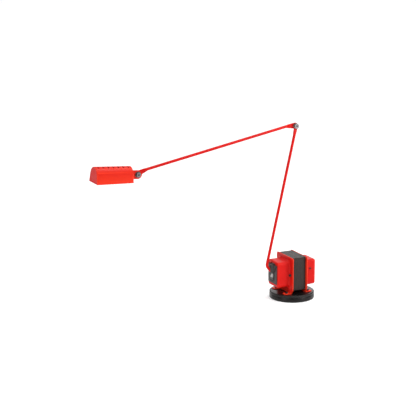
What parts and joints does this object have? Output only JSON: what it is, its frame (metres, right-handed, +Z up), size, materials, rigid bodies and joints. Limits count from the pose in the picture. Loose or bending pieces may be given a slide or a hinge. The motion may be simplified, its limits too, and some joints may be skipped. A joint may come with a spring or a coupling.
{
  "type": "architect desk lamp",
  "caption": "Desk lamp with two thin hinged arms, a small tunnel-shaped shade, and an exposed transformer with folded covers and a rocker switch on a round base disc.",
  "frame": {"origin": "centre of the base pad's underside", "axes": "+Z up; the shade reaches out along -X and the switch panel faces -X; the arm's hinges turn about Y"},
  "size_m": [0.5497, 0.105, 0.4149],
  "materials": {
    "red_paint": "semi-gloss stove enamel",
    "black_iron": "gloss black enamel on cast iron",
    "pad_rubber": "matt",
    "core_steel": "varnished laminations",
    "bobbin_nylon": "natural nylon",
    "winding_copper": "enamelled copper wire under tape",
    "black_plastic": "fine moulded grain",
    "rocker_plastic": "smooth grey",
    "terminal_brass": "plain",
    "washer_fibre": "pressed fibre",
    "reflector_aluminium": "bright, finely hammered",
    "socket_ceramic": "unglazed",
    "bulb_glass": "clear quartz",
    "fastener_steel": "zinc plated",
    "black_steel": "blackened"
  },
  "bodies": {
    "base": {"base_disc": "black_iron", "base_pad": "pad_rubber", "core_e_stack": "core_steel", "core_i_stack": "core_steel", "coil_bobbin": "bobbin_nylon", "primary_winding": "winding_copper", "secondary_winding": "winding_copper", "switch_cover": "red_paint", "rear_cover": "red_paint", "core_bolt_front": "black_steel", "core_bolt_back": "black_steel", "core_nut_front": "black_steel", "core_nut_back": "black_steel", "foot_screw_1": "black_steel", "foot_screw_2": "black_steel", "foot_screw_3": "black_steel", "foot_screw_4": "black_steel", "cover_side_screw": "black_steel", "cord_grommet": "pad_rubber", "switch_panel": "black_plastic", "switch_body": "black_plastic", "rocker_axle": "fastener_steel", "switch_terminal_1": "terminal_brass", "switch_terminal_2": "terminal_brass", "switch_terminal_3": "terminal_brass", "pivot_bracket": "fastener_steel", "turret_pin": "fastener_steel"},
    "rocker": {"switch_rocker": "rocker_plastic"},
    "turret": {"swivel_turret": "black_plastic", "arm_pivot_pin": "fastener_steel"},
    "lower_arm": {"lower_arm": "red_paint", "elbow_bolt": "fastener_steel", "elbow_washer_front": "fastener_steel"},
    "upper_arm": {"upper_arm": "red_paint", "elbow_friction_washer": "washer_fibre", "elbow_washer_back": "fastener_steel", "elbow_nut": "fastener_steel"},
    "head_yoke": {"head_bracket": "red_paint", "swivel_rivet": "fastener_steel", "head_bolt": "fastener_steel", "head_nut": "fastener_steel", "head_washer_front": "black_steel", "head_washer_back": "black_steel", "head_friction_washer": "washer_fibre"},
    "shade": {"shade_shell": "red_paint", "shade_front_cap": "red_paint", "shade_rear_cap": "red_paint", "shade_tie_rod_front": "fastener_steel", "shade_tie_rod_back": "fastener_steel", "reflector": "reflector_aluminium", "lamp_socket": "socket_ceramic", "socket_bracket": "fastener_steel", "bulb_capsule": "bulb_glass", "bulb_pin_front": "fastener_steel", "bulb_pin_back": "fastener_steel"}
  },
  "joints": [
    {"name": "switch_rocks", "type": "hinge", "parent": "base", "child": "rocker", "pos_m": [-0.049, 0, 0.0548], "axis": [0, 1, 0], "range_deg": [-8, 8]},
    {"name": "turret_pan", "type": "hinge", "parent": "base", "child": "turret", "pos_m": [-0.0502, 0, 0.0765], "axis": [0, 0, 1], "range_deg": [-45, 45]},
    {"name": "lower_arm_tilt", "type": "hinge", "parent": "turret", "child": "lower_arm", "pos_m": [-0.05656, 0, 0.07074], "axis": [0, -1, 0], "range_deg": [-5, 80]},
    {"name": "elbow_fold", "type": "hinge", "parent": "lower_arm", "child": "upper_arm", "pos_m": [0.0039, 0, 0.4075], "axis": [0, 1, 0], "range_deg": [-36, 105]},
    {"name": "head_tilt", "type": "hinge", "parent": "upper_arm", "child": "head_yoke", "pos_m": [-0.3918, 0, 0.3322], "axis": [0, -1, 0], "range_deg": [-60, 85]},
    {"name": "shade_roll", "type": "hinge", "parent": "head_yoke", "child": "shade", "pos_m": [-0.3918, 0, 0.3322], "axis": [-0.9973, 0, 0.0741], "range_deg": [-90, 90]}
  ]
}
